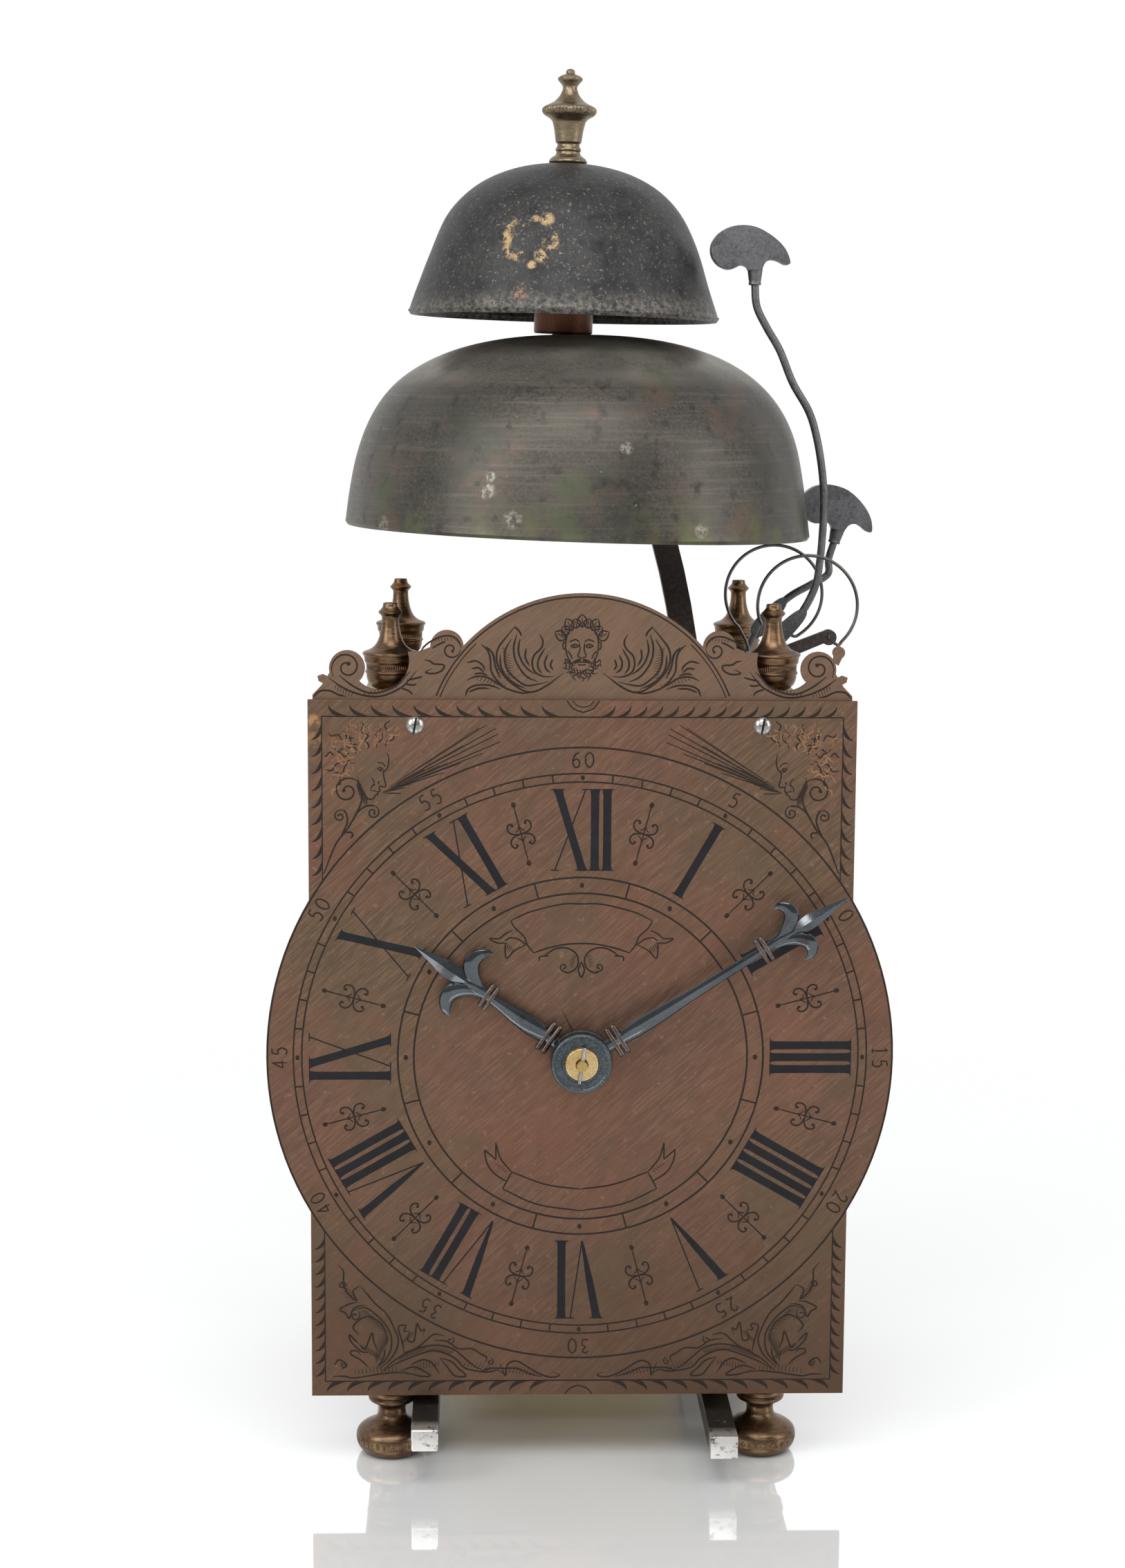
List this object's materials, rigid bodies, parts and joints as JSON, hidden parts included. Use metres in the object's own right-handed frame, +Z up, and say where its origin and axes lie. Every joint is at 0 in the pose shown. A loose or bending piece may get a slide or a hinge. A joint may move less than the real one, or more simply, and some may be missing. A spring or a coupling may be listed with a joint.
{
  "type": "lantern clock",
  "caption": "Lantern clock: shaped dial plate with hour and minute hands, turned pillars and feet, stacked bells with side hammers, going and striking trains, short pendulum.",
  "frame": {"origin": "on the floor, at the centre of the four feet and, to within a millimetre, of the overall width and depth", "axes": "+Z up; the dial faces -Y; +X is to the right seen from the front, where the hammers are"},
  "size_m": [0.1662, 0.1528, 0.3716],
  "materials": {
    "turned_brass": "dull, worn, brown in the grooves",
    "case_brass": "dull brushed",
    "dial_copper": "dull reddish brown, brushed and engraved",
    "dark_iron": "black, worn at the edges",
    "dark_copper": "dark brown",
    "bell_metal": "dark, patchy, half shiny",
    "hammer_steel": "filed, lightly tarnished",
    "blued_steel": "grey-blue, worn",
    "bright_steel": "bright",
    "wheel_brass": "clean, brushed"
  },
  "bodies": {
    "case": {"foot_front_left": "turned_brass", "foot_front_right": "turned_brass", "foot_rear_left": "turned_brass", "foot_rear_right": "turned_brass", "finial_front_left": "turned_brass", "finial_front_right": "turned_brass", "finial_rear_left": "turned_brass", "finial_rear_right": "turned_brass", "pillar_front_left": "case_brass", "pillar_front_right": "case_brass", "pillar_rear_left": "case_brass", "pillar_rear_right": "case_brass", "bottom_plate": "case_brass", "top_plate": "case_brass", "dial_plate": "dial_copper", "fronton": "dial_copper", "dial_screws": "bright_steel", "dial_lugs": "case_brass", "base_bar_left": "dark_iron", "base_bar_right": "dark_iron", "bar_studs": "dark_iron", "bell_arm": "dark_iron", "bell_post": "dark_iron", "spacer_tube": "dark_copper", "lower_bell": "bell_metal", "upper_bell": "bell_metal", "bell_finial": "turned_brass", "hammer_cocks": "case_brass", "front_loop_spring": "dark_iron", "rear_loop_spring": "dark_iron", "spring_bracket": "dark_iron", "front_bar": "wheel_brass", "centre_bar": "wheel_brass", "rear_bar": "wheel_brass", "crown_potence": "case_brass", "verge_cocks": "case_brass"},
    "crown_arbor": {"crown_wheel": "wheel_brass"},
    "great_arbor": {"going_great_wheel": "wheel_brass"},
    "going_pulley": {"going_pulley": "wheel_brass"},
    "centre_arbor": {"centre_wheel": "wheel_brass", "cannon_pinion": "bright_steel", "minute_hand": "blued_steel", "hand_washer": "wheel_brass", "hand_pin": "bright_steel"},
    "contrate_arbor": {"contrate_wheel": "wheel_brass"},
    "motion_wheel": {"motion_wheel": "wheel_brass"},
    "hour_pipe": {"hour_wheel": "wheel_brass", "hour_hand": "blued_steel"},
    "pendulum": {"verge": "bright_steel", "pendulum_rod": "bright_steel", "pendulum_bob": "wheel_brass"},
    "strike_great_arbor": {"strike_great_wheel": "wheel_brass"},
    "strike_pulley": {"strike_pulley": "wheel_brass"},
    "hoop_arbor": {"hoop_wheel": "wheel_brass"},
    "warning_arbor": {"warning_wheel": "wheel_brass"},
    "fly_arbor": {"fly": "wheel_brass"},
    "count_wheel": {"count_wheel": "wheel_brass"},
    "upper_hammer": {"upper_hammer": "hammer_steel"},
    "lower_hammer": {"lower_hammer": "hammer_steel"}
  },
  "joints": [
    {"name": "centre_arbor_spin", "type": "hinge", "parent": "case", "child": "centre_arbor", "pos_m": [0, 0, 0.112], "axis": [0, 1, 0], "continuous": true},
    {"name": "great_arbor_spin", "type": "hinge", "parent": "case", "child": "great_arbor", "pos_m": [0, 0, 0.079], "axis": [0, 1, 0], "continuous": true},
    {"name": "going_pulley_spin", "type": "hinge", "parent": "great_arbor", "child": "going_pulley", "pos_m": [0, 0, 0.079], "axis": [0, 1, 0], "continuous": true},
    {"name": "contrate_arbor_spin", "type": "hinge", "parent": "case", "child": "contrate_arbor", "pos_m": [0, 0, 0.139], "axis": [0, 1, 0], "continuous": true},
    {"name": "crown_arbor_spin", "type": "hinge", "parent": "case", "child": "crown_arbor", "pos_m": [0, -0.0234, 0.2], "axis": [0, 0, 1], "continuous": true},
    {"name": "motion_wheel_spin", "type": "hinge", "parent": "case", "child": "motion_wheel", "pos_m": [0, 0, 0.13], "axis": [0, 1, 0], "continuous": true},
    {"name": "hour_pipe_spin", "type": "hinge", "parent": "case", "child": "hour_pipe", "pos_m": [0, 0, 0.112], "axis": [0, 1, 0], "continuous": true},
    {"name": "pendulum_swing", "type": "hinge", "parent": "case", "child": "pendulum", "pos_m": [0, 0, 0.219], "axis": [0, 1, 0], "range_deg": [-12, 12]},
    {"name": "hoop_arbor_spin", "type": "hinge", "parent": "case", "child": "hoop_arbor", "pos_m": [0, 0, 0.112], "axis": [0, 1, 0], "continuous": true},
    {"name": "strike_great_spin", "type": "hinge", "parent": "case", "child": "strike_great_arbor", "pos_m": [0, 0, 0.079], "axis": [0, 1, 0], "continuous": true},
    {"name": "strike_pulley_spin", "type": "hinge", "parent": "strike_great_arbor", "child": "strike_pulley", "pos_m": [0, 0, 0.079], "axis": [0, 1, 0], "continuous": true},
    {"name": "warning_arbor_spin", "type": "hinge", "parent": "case", "child": "warning_arbor", "pos_m": [0, 0, 0.139], "axis": [0, 1, 0], "continuous": true},
    {"name": "fly_spin", "type": "hinge", "parent": "case", "child": "fly_arbor", "pos_m": [0, 0, 0.1579], "axis": [0, 1, 0], "continuous": true},
    {"name": "count_wheel_spin", "type": "hinge", "parent": "case", "child": "count_wheel", "pos_m": [0, 0, 0.0524], "axis": [0, 1, 0], "continuous": true},
    {"name": "upper_hammer_swing", "type": "hinge", "parent": "case", "child": "upper_hammer", "pos_m": [0.046, 0, 0.188], "axis": [0, 1, 0], "range_deg": [-1.2, 7], "stiffness_Nm_per_rad": 0.12, "springref_deg": -1.15},
    {"name": "lower_hammer_swing", "type": "hinge", "parent": "case", "child": "lower_hammer", "pos_m": [0.046, 0, 0.188], "axis": [0, 1, 0], "range_deg": [-0.6, 8], "stiffness_Nm_per_rad": 0.08, "springref_deg": -1.15}
  ],
  "couplings": [
    {"joint": "great_arbor_spin", "follows": "centre_arbor_spin", "ratio": -0.2},
    {"joint": "contrate_arbor_spin", "follows": "centre_arbor_spin", "ratio": -5},
    {"joint": "crown_arbor_spin", "follows": "centre_arbor_spin", "ratio": -25},
    {"joint": "motion_wheel_spin", "follows": "centre_arbor_spin", "ratio": -0.33333},
    {"joint": "hour_pipe_spin", "follows": "centre_arbor_spin", "ratio": 0.083333},
    {"joint": "strike_great_spin", "follows": "hoop_arbor_spin", "ratio": -0.2},
    {"joint": "warning_arbor_spin", "follows": "hoop_arbor_spin", "ratio": -5},
    {"joint": "fly_spin", "follows": "hoop_arbor_spin", "ratio": 30},
    {"joint": "count_wheel_spin", "follows": "hoop_arbor_spin", "ratio": 0.033333}
  ]
}
